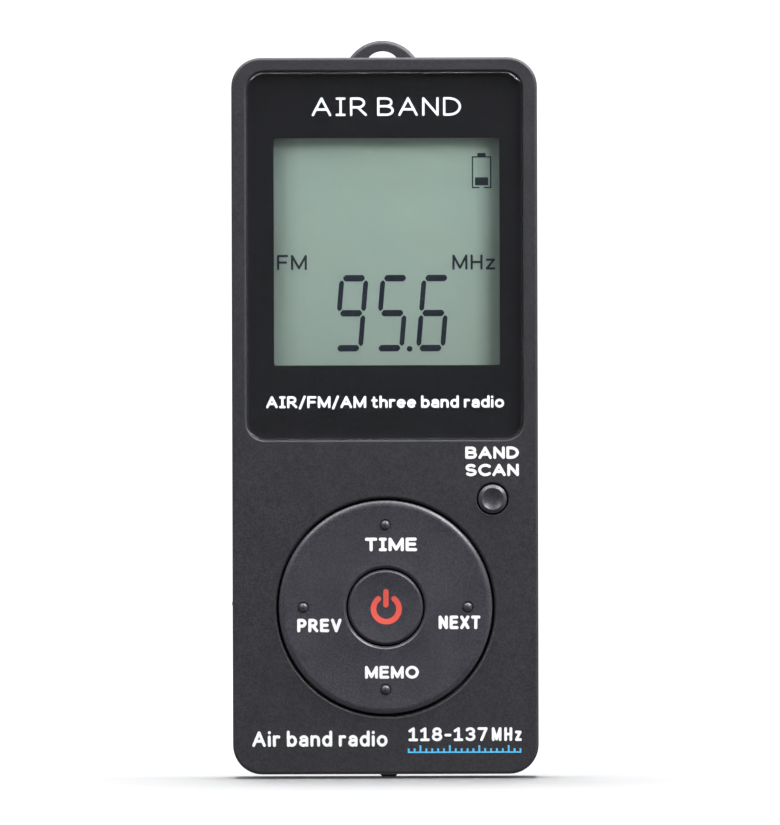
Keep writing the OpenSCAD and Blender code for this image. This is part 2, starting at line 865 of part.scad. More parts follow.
module band_scan_plunger() {
    color("#e8e4dc") at(band_x, band_z) bar_y(0.95, plunger_top_y + 0.2, plunger_end_y);
}

module volume_rocker() {
    outer_x = body_w / 2;
    color(key_tone) translate([0, rocker_y, rocker_z]) difference() {
        union() {
            side_slab(rocker_flange_x + 0.5, outer_x) round_rect(rocker_h, rocker_len, 1.4);
            side_slab(rocker_flange_x, rocker_flange_x + 0.6)
                square([rocker_h, rocker_len + 1.6], center = true);
        }
        for (s = [-1, 1]) translate([outer_x + 9.7, 0, s * volume_spread]) rotate([90, 0, 0])
            cylinder(r = 10, h = rocker_h + cut, center = true);
    }
}

module volume_plungers() {
    color("#e8e4dc") for (s = [-1, 1])
        translate([volume_switch_x - 0.45, rocker_y, rocker_z + s * volume_spread]) rotate([0, 90, 0])
            cylinder(r = 0.8, h = rocker_flange_x - volume_switch_x + 0.45);
}

module hold_knob() {
    outer_x = -body_w / 2;
    rib_r = 0.75;
    rib_proud = 0.12;
    color(key_tone) translate([0, hold_y, hold_z]) {
        side_slab(outer_x + 0.05, -inner_half_w + 0.15) square([2.9, hold_len], center = true);
        side_slab(-inner_half_w + 0.1, -inner_half_w + 0.6) translate([0, hold_travel / -4])
            square([3, hold_len + 2 * hold_travel + 2], center = true);
        block([-inner_half_w + 0.5, -0.6, -0.6], [-inner_half_w + 2.4, 0.6, 0.6]);
        translate([outer_x + rib_r - rib_proud, 0, 0]) rotate([90, 0, 0])
            cylinder(r = rib_r, h = 2.5, center = true);
    }
}

// ---------- antenna and earphone jack ----------

module ferrite_rod() {
    color(ferrite_grey) translate([rod_x, rod_y_mid, rod_low_z])
        cylinder(r = rod_r, h = rod_high_z - rod_low_z);
}

module antenna_coil() {
    turns = 16;
    pitch = 0.9;
    color(copper) translate([rod_x, rod_y_mid, rod_low_z + 15]) difference() {
        rotate_extrude() {
            translate([rod_r + 0.02, 0]) square([0.3, turns * pitch]);
            for (k = [0:turns - 1]) translate([rod_r + 0.3, pitch * (k + 0.5)]) circle(0.35, $fn = 24);
        }
        translate([0, 0, -cut]) cylinder(r = rod_r + 0.02, h = turns * pitch + 2 * cut);
    }
}

module antenna_clips() {
    color("#202124") for (z = [rod_low_z + 2.5, rod_high_z - 4.5]) difference() {
        block([rod_x - 2.8, 0.8, z], [rod_x + 2.8, back_inner_y, z + 2.5]);
        translate([rod_x, rod_y_mid, z - cut]) cylinder(r = rod_r + 0.02, h = 2.5 + 2 * cut);
    }
}

module earphone_jack() {
    low_z = jack_top_z - jack_bore_len - 0.8;
    color("#232326") translate([jack_x, jack_y, 0]) difference() {
        union() {
            block([-3, -jack_half, low_z], [3, jack_half, top_z - wall - 0.1]);
            translate([0, 0, top_z - wall - 0.2])
                cylinder(r = jack_collar_r, h = jack_top_z - top_z + wall + 0.2);
        }
        translate([0, 0, jack_top_z - jack_bore_len]) cylinder(r = jack_bore_r, h = jack_bore_len + cut);
    }
}

module jack_contacts() {
    color(brass_tone) for (s = [-1, 1], k = [0:1]) {
        low_x = (s > 0) ? jack_x + 3 : jack_x - 3.3;
        low_z = jack_top_z - 13 + 5 * k;
        block([low_x, board_back_y, low_z], [low_x + 0.3, jack_y + 1.2, low_z + 1.6]);
    }
}

// ---------- speaker ----------

module speaker_basket() {
    color(steel) at(0, speaker_z) turned([[0, -basket_floor_y], [8.6, -basket_floor_y], [13, -basket_y],
        [speaker_r, -basket_y], [speaker_r, -gasket_y], [12.3, -gasket_y],
        [8, -basket_floor_y - 0.5], [0, -basket_floor_y - 0.5]]);
}

module speaker_magnet() {
    color("#8f9296") at(0, speaker_z) turned([[0, -magnet_y], [6.8, -magnet_y], [6.8, -magnet_y - 0.5],
        [6.3, -magnet_y - 0.5], [6.3, -basket_floor_y], [0, -basket_floor_y]]);
}

module speaker_cone() {
    y0 = basket_floor_y;
    path = [[0, 3], [1.6, 2.8], [2.8, 2.2], [3.2, 1.6], [8, 2.8], [10.4, 3.6], [11.2, 4.1], [12.2, 4.1]];
    skin = 0.2;
    color("#2b2a2a") at(0, speaker_z) turned(concat(
        [for (p = path) [p[0], -y0 - p[1]]],
        [for (k = [len(path) - 1:-1:0]) [path[k][0], -y0 - path[k][1] + skin]]
    ));
}

module speaker_gasket() {
    color("#19191a") at(0, speaker_z)
        turned([[12.3, -gasket_y], [speaker_r, -gasket_y], [speaker_r, -cloth_y], [12.3, -cloth_y]]);
}

module grille_cloth() {
    color("#101011") at(0, speaker_z) bar_y(13.4, cloth_y, back_inner_y);
}

module speaker_leads() {
    for (s = [-1, 1]) color(s > 0 ? "#b03030" : "#202020") at(s * 2, speaker_z - 11)
        bar_y(0.35, board_back_y, basket_floor_y + 1.6, $fn = 24);
}

// ---------- battery ----------

// Cell core standing on z = 0 with its positive cap up
module cell_core() {
    cylinder(r = cell_r - 0.1, h = cell_len - nub_h);
    translate([0, 0, cell_len - nub_h - 0.1]) cylinder(r = nub_r, h = nub_h + 0.1);
}

module cell_left() {
    color(steel) translate([-cell_x, cell_y, left_cell_z]) cell_core();
}

module cell_right() {
    color(steel) translate([cell_x, cell_y, right_cell_z + cell_len]) mirror([0, 0, 1]) cell_core();
}

module sleeve() {
    difference() {
        translate([0, 0, 0.8]) cylinder(r = cell_r, h = cell_len - nub_h - 1.6);
        cylinder(r = cell_r - 0.1, h = cell_len);
    }
}

module cell_sleeves() {
    color("#3f5d73") {
        translate([-cell_x, cell_y, left_cell_z]) sleeve();
        translate([cell_x, cell_y, right_cell_z + cell_len]) mirror([0, 0, 1]) sleeve();
    }
}

// Conical coil spring rising from z = 0
module coil_spring(low_r, high_r, height, turns) {
    steps = turns * 20;
    sides = 6;
    points = [
        for (i = [0:steps], j = [0:sides - 1])
            let (a = 360 * turns * i / steps, b = 360 * j / sides,
                r = low_r + (high_r - low_r) * i / steps + spring_wire_r * cos(b))
            [r * cos(a), r * sin(a), spring_wire_r * (1 + sin(b)) + (height - 2 * spring_wire_r) * i / steps]
    ];
    side_faces = [
        for (i = [0:steps - 1], j = [0:sides - 1], half = [0, 1])
            let (a = i * sides + j, b = i * sides + (j + 1) % sides)
            (half == 0) ? [a, a + sides, b] : [b, a + sides, b + sides]
    ];
    start_cap = [for (j = [0:sides - 1]) j];
    end_cap = [for (j = [sides - 1:-1:0]) steps * sides + j];
    polyhedron(points, concat(side_faces, [start_cap], [end_cap]));
}

module battery_springs() {
    low_z = bay_low_z + contact_t;
    high_z = bay_high_z - contact_t;
    color(spring_steel) {
        translate([-cell_x, cell_y, low_z]) coil_spring(3.4, 2.1, left_cell_z - low_z, 3);
        translate([cell_x, cell_y, high_z]) mirror([0, 0, 1])
            coil_spring(3.4, 2.1, high_z - right_cell_z - cell_len, 3);
    }
}

// Contact plate for one cell, with a tab that runs forward along the end wall
module contact_plate(x, z) {
    block([x - contact_half_w, contact_low_y, z], [x + contact_half_w, contact_high_y, z + contact_t]);
    block([x - 1, bay_floor_y + bay_floor_t, z], [x + 1, contact_low_y + 0.1, z + contact_t]);
}

module positive_contact() {
    z = bay_high_z - contact_t;
    color(spring_steel) {
        contact_plate(-cell_x, z);
        translate([-cell_x, cell_y, z - button_h]) cylinder(r1 = 1.2, r2 = 2, h = button_h);
    }
}

module negative_contact() {
    color(spring_steel) contact_plate(cell_x, bay_high_z - contact_t);
}

module bridge_contact() {
    half = cell_x + contact_half_w;
    color(spring_steel) {
        block([-half, contact_low_y, bay_low_z], [half, contact_high_y, bay_low_z + contact_t]);
        translate([cell_x, cell_y, bay_low_z + contact_t]) cylinder(r1 = 2, r2 = 1.2, h = button_h);
    }
}

module battery_door() {
    plate_low = [-door_half_w, door_y, -cut];
    plate_high = [door_half_w, back_y + cut, door_top_z];
    tip = latch_half_w - latch_taper;
    color(case_tone) difference() {
        union() {
            intersection() {
                back_block();
                block(plate_low, plate_high);
            }
            for (s = [-1, 1]) {
                block([s * hook_x - hook_half_w, hook_y, hook_low_z],
                    [s * hook_x + hook_half_w, door_y + 0.3, door_top_z]);
                block([s * hook_x - hook_half_w, hook_y, hook_low_z],
                    [s * hook_x + hook_half_w, hook_y + hook_t, hook_top_z]);
            }
            slab(latch_front_y, door_y + 0.3) translate([latch_x, 0]) polygon([
                [-latch_half_w, latch_top_z], [-latch_half_w, base_z], [-tip, 0],
                [tip, 0], [latch_half_w, base_z], [latch_half_w, latch_top_z]]);
        }
        for (k = [0:4]) translate([0, back_y + 0.35, base_z + 8.5 + grip_pitch * k]) rotate([0, 90, 0])
            cylinder(r = grip_r, h = grip_len, center = true);
    }
}

// ---------- fasteners ----------

// Cross recess, half as deep as it is wide
module cross_recess(w, y) {
    for (a = [0, 90]) rotate([0, a, 0]) block([-w / 2, y - 0.6, -w / 9], [w / 2, y + cut, w / 9]);
}

module case_screws() {
    head_t = 1.3;
    color(steel) at_posts() difference() {
        union() {
            bar_y(screw_r, screw_tip_y, screw_seat_y + 0.1);
            turned([[0, -screw_seat_y], [screw_head_r, -screw_seat_y],
                [screw_head_r, -screw_seat_y - head_t + 0.4],
                [screw_head_r - 0.4, -screw_seat_y - head_t], [0, -screw_seat_y - head_t]]);
        }
        cross_recess(2, screw_seat_y + head_t);
    }
}

module pcb_screws() {
    color(steel) at_board_screws() difference() {
        union() {
            bar_y(board_screw_r, front_inner_y + 0.9, board_back_y + 0.1);
            bar_y(board_screw_head_r, board_back_y, board_back_y + 0.8);
        }
        cross_recess(1.5, board_back_y + 0.9);
    }
}

front_shell();
rear_shell();
lanyard_loop();
display_lens();
lens_mask();
lens_adhesive();
lcd_polariser();
lcd_panel();
lcd_reflector();
light_guide();
backlight_leds();
lcd_holder();
zebra_strip();
main_pcb();
tuner_chip();
controller_chip();
amplifier_chip();
clock_crystal();
electrolytic_capacitors();
surface_mount_parts();
time_switch();
memo_switch();
prev_switch();
next_switch();
power_switch();
band_scan_switch();
volume_up_switch();
volume_down_switch();
hold_switch();
ferrite_rod();
antenna_coil();
antenna_clips();
earphone_jack();
jack_contacts();
speaker_basket();
speaker_magnet();
speaker_cone();
speaker_gasket();
grille_cloth();
speaker_leads();
cell_left();
cell_right();
cell_sleeves();
battery_springs();
positive_contact();
negative_contact();
bridge_contact();
case_screws();
pcb_screws();
nav_ring();
nav_plungers_vertical();
nav_plungers_side();
power_button();
power_plunger();
band_scan_button();
band_scan_plunger();
volume_rocker();
volume_plungers();
hold_knob();
battery_door();
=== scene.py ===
"""Handheld air band radio: finishes, printed legends, display image, lights and camera for its frame."""

import json
import math

import bmesh
import bpy
from mathutils import Matrix, Vector
from mathutils.geometry import delaunay_2d_cdt

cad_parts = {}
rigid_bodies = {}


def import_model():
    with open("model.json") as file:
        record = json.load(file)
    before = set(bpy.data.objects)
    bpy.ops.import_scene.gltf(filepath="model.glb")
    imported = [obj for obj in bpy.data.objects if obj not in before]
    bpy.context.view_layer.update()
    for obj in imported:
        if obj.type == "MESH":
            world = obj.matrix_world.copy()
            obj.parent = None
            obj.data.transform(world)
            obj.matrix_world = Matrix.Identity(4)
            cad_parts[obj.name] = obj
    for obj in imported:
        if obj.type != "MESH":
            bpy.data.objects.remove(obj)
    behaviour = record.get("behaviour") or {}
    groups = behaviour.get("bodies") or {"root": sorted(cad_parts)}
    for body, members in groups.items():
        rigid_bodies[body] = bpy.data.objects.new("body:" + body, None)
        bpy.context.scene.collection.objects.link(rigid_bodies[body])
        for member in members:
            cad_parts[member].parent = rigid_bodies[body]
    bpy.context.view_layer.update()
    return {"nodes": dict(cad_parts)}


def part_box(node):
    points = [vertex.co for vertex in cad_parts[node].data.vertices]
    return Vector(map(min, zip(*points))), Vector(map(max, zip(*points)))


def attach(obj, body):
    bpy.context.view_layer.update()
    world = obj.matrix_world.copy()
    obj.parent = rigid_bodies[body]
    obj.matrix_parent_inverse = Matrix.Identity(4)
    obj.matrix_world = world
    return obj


MM = 0.001

for stray in list(bpy.data.objects):
    bpy.data.objects.remove(stray)
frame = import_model()
nodes = frame["nodes"]
scene = bpy.context.scene


# ---------------------------------------------------------------- small helpers


def srgb(red, green, blue):
    """A display colour, 0 to 255, as the linear colour a shader takes."""

    def linear(value):
        value /= 255
        return value / 12.92 if value <= 0.04045 else ((value + 0.055) / 1.055) ** 2.4

    return (linear(red), linear(green), linear(blue), 1.0)


def scaled(colour, factor):
    return tuple(min(1.0, c * factor) for c in colour[:3]) + (1.0,)


def box_mm(node):
    """A node's lowest and highest corners, in millimetres."""
    low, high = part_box(node)
    return low / MM, high / MM


def centre_mm(node):
    low, high = box_mm(node)
    return (low + high) / 2


class Paint:
    """One material's node tree, with short ways to add to it. Lengths are in millimetres on the object."""

    def __init__(self, name, colour, roughness, metallic=0.0):
        self.material = bpy.data.materials.new(name)
        self.material.use_nodes = True
        self.material.diffuse_color = colour
        self.tree = self.material.node_tree
        self.tree.nodes.clear()
        self.output = self.add("OutputMaterial")
        self.shader = self.add("BsdfPrincipled")
        self.join(self.shader.outputs["BSDF"], self.output.inputs["Surface"])
        self.shader.inputs["Base Color"].default_value = colour
        self.shader.inputs["Roughness"].default_value = roughness
        self.shader.inputs["Metallic"].default_value = metallic
        self.place = self.add("TexCoord").outputs["Object"]

    def add(self, kind, **settings):
        node = self.tree.nodes.new("ShaderNode" + kind)
        for key, value in settings.items():
            setattr(node, key, value)
        return node

    def join(self, source, target):
        self.tree.links.new(source, target)

    def stretched(self, x, y, z):
        """The object's coordinates, squeezed by a factor along each axis."""
        node = self.add("Mapping")
        node.inputs["Scale"].default_value = (x, y, z)
        self.join(self.place, node.inputs["Vector"])
        return node.outputs["Vector"]

    def noise(self, size, detail=2.0, rough=0.5, place=None):
        node = self.add("TexNoise")
        node.inputs["Scale"].default_value = 1 / (size * MM)
        node.inputs["Detail"].default_value = detail
        node.inputs["Roughness"].default_value = rough
        self.join(place or self.place, node.inputs["Vector"])
        return node.outputs["Fac"]

    def cells(self, size):
        node = self.add("TexVoronoi", feature="F1")
        node.inputs["Scale"].default_value = 1 / (size * MM)
        self.join(self.place, node.inputs["Vector"])
        return node.outputs["Distance"]

    def bands(self, pitch, axis):
        """Soft stripes across an axis. A wave texture of scale 1 has one stripe in every pi / 10 metres."""
        node = self.add("TexWave", wave_type="BANDS", bands_direction=axis)
        node.inputs["Scale"].default_value = math.pi / 10 / (pitch * MM)
        self.join(self.place, node.inputs["Vector"])
        return node.outputs["Fac"]

    def spread(self, value, low, high, from_low=0.3, from_high=0.7):
        node = self.add("MapRange")
        for name, number in (
            ("From Min", from_low),
            ("From Max", from_high),
            ("To Min", low),
            ("To Max", high),
        ):
            node.inputs[name].default_value = number
        self.join(value, node.inputs["Value"])
        return node.outputs["Result"]

    def spread_mm(self, value, low, high, from_low, from_high):
        """spread() for a coordinate, with its two limits in millimetres."""
        return self.spread(value, low, high, from_low * MM, from_high * MM)

    def math(self, operation, a, b):
        node = self.add("Math", operation=operation)
        for socket, value in zip(node.inputs, (a, b)):
            if isinstance(value, (int, float)):
                socket.default_value = value
            else:
                self.join(value, socket)
        return node.outputs[0]

    def blend(self, fac, a, b, kind="MIX"):
        """A colour that goes from a to b as fac goes from 0 to 1."""
        node = self.add("Mix", data_type="RGBA", blend_type=kind)
        for socket, value in ((node.inputs[0], fac), (node.inputs[6], a), (node.inputs[7], b)):
            if isinstance(value, (int, float, tuple)):
                socket.default_value = value
            else:
                self.join(value, socket)
        return node.outputs[2]

    def darkened(self, colour, where, factor):
        """The colour, multiplied by a grey factor where the mask is 0 and unchanged where it is 1."""
        dark = self.blend(1.0, colour, (factor, factor, factor, 1), "MULTIPLY")
        return self.blend(where, dark, colour)

    def axis(self, name):
        node = self.add("SeparateXYZ")
        self.join(self.place, node.inputs[0])
        return node.outputs[name]

    def edges(self, radius):
        """About 0 on open surfaces, and more where the surface turns within the radius."""
        rounded = self.add("Bevel", samples=4)
        rounded.inputs["Radius"].default_value = radius * MM
        true = self.add("NewGeometry")
        along = self.add("VectorMath", operation="DOT_PRODUCT")
        self.join(rounded.outputs["Normal"], along.inputs[0])
        self.join(true.outputs["Normal"], along.inputs[1])
        return self.math("SUBTRACT", 1.0, along.outputs["Value"])

    def bump(self, height, distance, before=None):
        node = self.add("Bump")
        node.inputs["Distance"].default_value = distance * MM
        self.join(height, node.inputs["Height"])
        if before is not None:
            self.join(before, node.inputs["Normal"])
        return node.outputs["Normal"]

    def colour(self, source):
        self.join(source, self.shader.inputs["Base Color"])

    def roughness(self, source):
        self.join(source, self.shader.inputs["Roughness"])

    def normal(self, source):
        self.join(source, self.shader.inputs["Normal"])


# ---------------------------------------------------------------- finishes


def moulded(name, colour, grain=0.16, depth=0.008, rough=(0.47, 0.57), worn=0.0, waves=0.0):
    """Moulded plastic: spark-eroded grain, faint mottling, and edges rubbed a little smoother and lighter.
    waves is how far the surface swells and sinks from one few millimetres to the next."""
    p = Paint(name, colour, sum(rough) / 2)
    fine = p.noise(grain, detail=3.0, rough=0.6)
    broad = p.noise(grain * 30, detail=2.0)
    tone = p.blend(p.spread(broad, 0, 1), scaled(colour, 0.90), scaled(colour, 1.10))
    tone = p.darkened(tone, p.spread(fine, 0, 1, 0.35, 0.65), 0.86)
    speckle = p.noise(grain * 2.1, detail=2.0, rough=0.7)
    tone = p.darkened(tone, p.spread(speckle, 0, 1, 0.42, 0.58), 0.66)
    gloss = p.spread(p.noise(grain * 6, detail=3.0), rough[0], rough[1])
    if worn:
        patches = p.noise(1.1, detail=4.0, rough=0.7)
        rubbed = p.math("MULTIPLY", p.spread(p.edges(0.25), 0, 1, 0.01, 0.12), patches)
        tone = p.blend(p.math("MULTIPLY", rubbed, worn), tone, scaled(colour, 1.9))
        gloss = p.math("SUBTRACT", gloss, p.math("MULTIPLY", rubbed, 0.12))
    p.colour(tone)
    p.roughness(gloss)
    surface = p.bump(speckle, depth, before=p.bump(fine, depth))
    if waves:
        surface = p.bump(p.noise(6.0, detail=1.0), waves, before=surface)
    p.normal(surface)
    return p.material


def foam(name, colour, pore=0.25):
    """Foam or rubber: open pores and a dull surface."""
    p = Paint(name, colour, 0.85)
    holes = p.cells(pore)
    p.colour(p.blend(p.spread(holes, 0, 1, 0.0, 0.6), scaled(colour, 0.55), scaled(colour, 1.25)))
    p.roughness(p.spread(p.noise(pore * 4), 0.78, 0.95))
    p.normal(p.bump(p.math("ADD", holes, p.noise(pore * 0.5, detail=3.0)), 0.05))
    return p.material


def metal(name, colour, rough=(0.22, 0.38), brushed=(1, 1, 1), grain=0.12, depth=0.004, tarnish=0.15):
    """Metal: fine drawing or rolling lines along one axis, cloudy tarnish and small scratches."""
    p = Paint(name, colour, sum(rough) / 2, metallic=1.0)
    lines = p.noise(grain, detail=4.0, rough=0.65, place=p.stretched(*brushed))
    clouds = p.noise(2.5, detail=4.0, rough=0.6)
    p.colour(p.blend(p.spread(clouds, 0, 1), scaled(colour, 1 - tarnish), scaled(colour, 1 + tarnish * 0.6)))
    scratched = p.math("ADD", p.math("MULTIPLY", lines, 0.7), p.math("MULTIPLY", clouds, 0.3))
    p.roughness(p.spread(scratched, rough[0], rough[1]))
    p.normal(p.bump(lines, depth))
    return p.material


def clear_plate(name, tint, rough=(0.01, 0.05)):
    """Clear acrylic: faint hairline scratches and haze. Lamps shine through it to what lies behind."""
    p = Paint(name, tint, rough[0])
    p.shader.inputs["Transmission Weight"].default_value = 1.0
    p.shader.inputs["IOR"].default_value = 1.49
    hairs = p.noise(0.35, detail=5.0, rough=0.7, place=p.stretched(1, 1, 0.06))
    haze = p.noise(9.0, detail=3.0)
    scratched = p.math("ADD", p.math("MULTIPLY", hairs, 0.6), p.math("MULTIPLY", haze, 0.4))
    p.roughness(p.spread(scratched, rough[0], rough[1]))
    p.colour(p.blend(p.spread(haze, 0, 1), tint, scaled(tint, 0.985)))
    p.normal(p.bump(haze, 0.002))
    path = p.add("LightPath")
    open_to_lamps = p.add("BsdfTransparent")
    open_to_lamps.inputs["Color"].default_value = scaled(tint, 0.97)
    either = p.add("MixShader")
    p.join(path.outputs["Is Shadow Ray"], either.inputs[0])
    p.join(p.shader.outputs["BSDF"], either.inputs[1])
    p.join(open_to_lamps.outputs["BSDF"], either.inputs[2])
    p.join(either.outputs[0], p.output.inputs["Surface"])
    return p.material


def board(name):
    """Printed circuit board: green solder mask over a web of copper tracks, with a woven core under it."""
    mask, track = srgb(18, 92, 48), srgb(42, 128, 66)
    p = Paint(name, mask, 0.35)
    webs = p.add("TexVoronoi", feature="DISTANCE_TO_EDGE", distance="EUCLIDEAN")
    webs.inputs["Scale"].default_value = 1 / (2.4 * MM)
    webs.inputs["Randomness"].default_value = 0.55
    p.join(p.place, webs.inputs["Vector"])
    copper = p.spread(webs.outputs["Distance"], 1, 0, 0.05, 0.08)
    weave = p.math("MULTIPLY", p.bands(0.35, "X"), p.bands(0.35, "Z"))
    tone = p.blend(copper, mask, track)
    p.colour(p.blend(p.math("MULTIPLY", weave, 0.35), tone, scaled(mask, 0.6)))
    p.roughness(p.spread(p.noise(1.2, detail=3.0), 0.25, 0.45))
    p.normal(p.bump(p.math("ADD", copper, p.math("MULTIPLY", weave, 0.3)), 0.03))
    return p.material


def cloth(name, colour, pitch=0.22):
    """Woven cloth: two sets of threads that cross over and under."""
    p = Paint(name, colour, 0.9)
    warp, weft = p.bands(pitch, "X"), p.bands(pitch, "Z")
    over = p.math("MAXIMUM", warp, weft)
    p.colour(p.blend(over, scaled(colour, 0.35), scaled(colour, 1.5)))
    p.roughness(p.spread(p.noise(1.5), 0.8, 0.95))
    p.normal(p.bump(p.math("ADD", over, p.math("MULTIPLY", p.noise(0.06), 0.4)), 0.06))
    p.shader.inputs["Sheen Weight"].default_value = 0.25
    return p.material


def paper(name, colour):
    """Pressed paper pulp: fibres and a soft uneven tone."""
    p = Paint(name, colour, 0.8)
    fibre = p.noise(0.14, detail=5.0, rough=0.7, place=p.stretched(1, 1, 0.35))
    p.colour(p.blend(p.spread(fibre, 0, 1), scaled(colour, 0.7), scaled(colour, 1.4)))
    p.roughness(p.spread(p.noise(0.8), 0.7, 0.9))
    p.normal(p.bump(fibre, 0.04))
    return p.material


def wound(name, colour, pitch=0.3):
    """Fine enamelled wire, wound side by side along X."""
    p = Paint(name, colour, 0.3, metallic=0.85)
    turns = p.bands(pitch, "X")
    p.colour(p.blend(turns, scaled(colour, 0.35), scaled(colour, 1.2)))
    p.roughness(p.spread(p.noise(1.4, detail=3.0), 0.22, 0.42))
    p.normal(p.bump(turns, 0.08))
    return p.material


def sleeve(name, colour, cap_colour, levels):
    """A printed shrink sleeve: two tones with a thin line between them, and small creases."""
    p = Paint(name, colour, 0.32)
    height = p.math("DIVIDE", p.axis("Z"), MM)
    low, high = levels
    upper = p.spread(height, 0, 1, high, high + 0.05)
    line = p.math("MULTIPLY", p.spread(height, 0, 1, low, low + 0.05), p.math("SUBTRACT", 1.0, upper))
    tone = p.blend(upper, colour, cap_colour)
    tone = p.blend(line, tone, srgb(205, 205, 200))
    p.colour(p.blend(p.spread(p.noise(3.0, detail=4.0), 0, 0.35), tone, scaled(colour, 0.5)))
    creases = p.noise(1.8, detail=5.0, rough=0.6, place=p.stretched(1, 1, 0.3))
    p.roughness(p.spread(creases, 0.22, 0.42))
    p.normal(p.bump(creases, 0.03))
    return p.material


def ink(name, colour, gloss=(0.45, 0.62), shine=0.5):
    """Screen-printed ink: slightly uneven cover, with the mesh's texture."""
    p = Paint(name, colour, 0.5)
    cover = p.noise(0.22, detail=4.0, rough=0.65)
    mesh = p.math("MULTIPLY", p.bands(0.09, "X"), p.bands(0.09, "Z"))
    p.colour(p.blend(p.spread(cover, 0, 1, 0.35, 0.6), scaled(colour, 0.86), colour))
    p.roughness(p.spread(p.noise(0.5), gloss[0], gloss[1]))
    p.normal(p.bump(p.math("ADD", cover, p.math("MULTIPLY", mesh, 0.4)), 0.004))
    p.shader.inputs["Specular IOR Level"].default_value = shine
    return p.material


# How far the window in the black print lies inside the polariser's edges, in millimetres
WINDOW_IN_SIDE, WINDOW_IN_TOP = 1.2, 2.5


def display_film_painted_light_and_shade(name):
    """The display's grey-green film: fine speckle and a tone that darkens slowly towards the bottom. Painted
    light makes it lighter below the top of its window, and painted shadows of the window's edges darken a
    thin line at the very top and strips along its two sides."""
    base, low, cool = srgb(118, 133, 120), srgb(110, 124, 112), srgb(113, 133, 125)
    p = Paint(name, base, 0.6)
    (left, _, bottom), (right, _, top) = box_mm("lcd_polariser")
    middle = (bottom + top) / 2
    left, right, top = left + WINDOW_IN_SIDE, right - WINDOW_IN_SIDE, top - WINDOW_IN_TOP
    across, up = p.axis("X"), p.axis("Z")
    tone = p.blend(p.spread_mm(up, 0, 1, middle - 16, middle + 6), low, base)
    # Painted light and shade: the band below the window's top is lightened as if lit there, and the very top
    # edge and both sides are darkened as painted shadows of the window's edges
    for coordinate, begins, ends, factor in (
        (up, top - 6.0, top - 1.2, 1.30),
        (up, top - 1.0, top, 0.95),
        (across, left + 3.5, left, 0.50),
        (across, right - 3.4, right - 1.2, 0.44),
    ):
        tone = p.blend(p.spread_mm(coordinate, 0, 1, begins, ends), tone, scaled(base, factor))
    tone = p.blend(p.spread(p.noise(14.0, detail=2.0), 0, 0.30), tone, cool)
    speck = p.noise(0.10, detail=3.0, rough=0.7)
    tone = p.blend(p.spread(speck, 0, 0.22), tone, scaled(base, 0.80))
    p.colour(tone)
    p.roughness(p.spread(p.noise(0.9, detail=3.0), 0.5, 0.7))
    p.normal(p.bump(speck, 0.006))
    return p.material


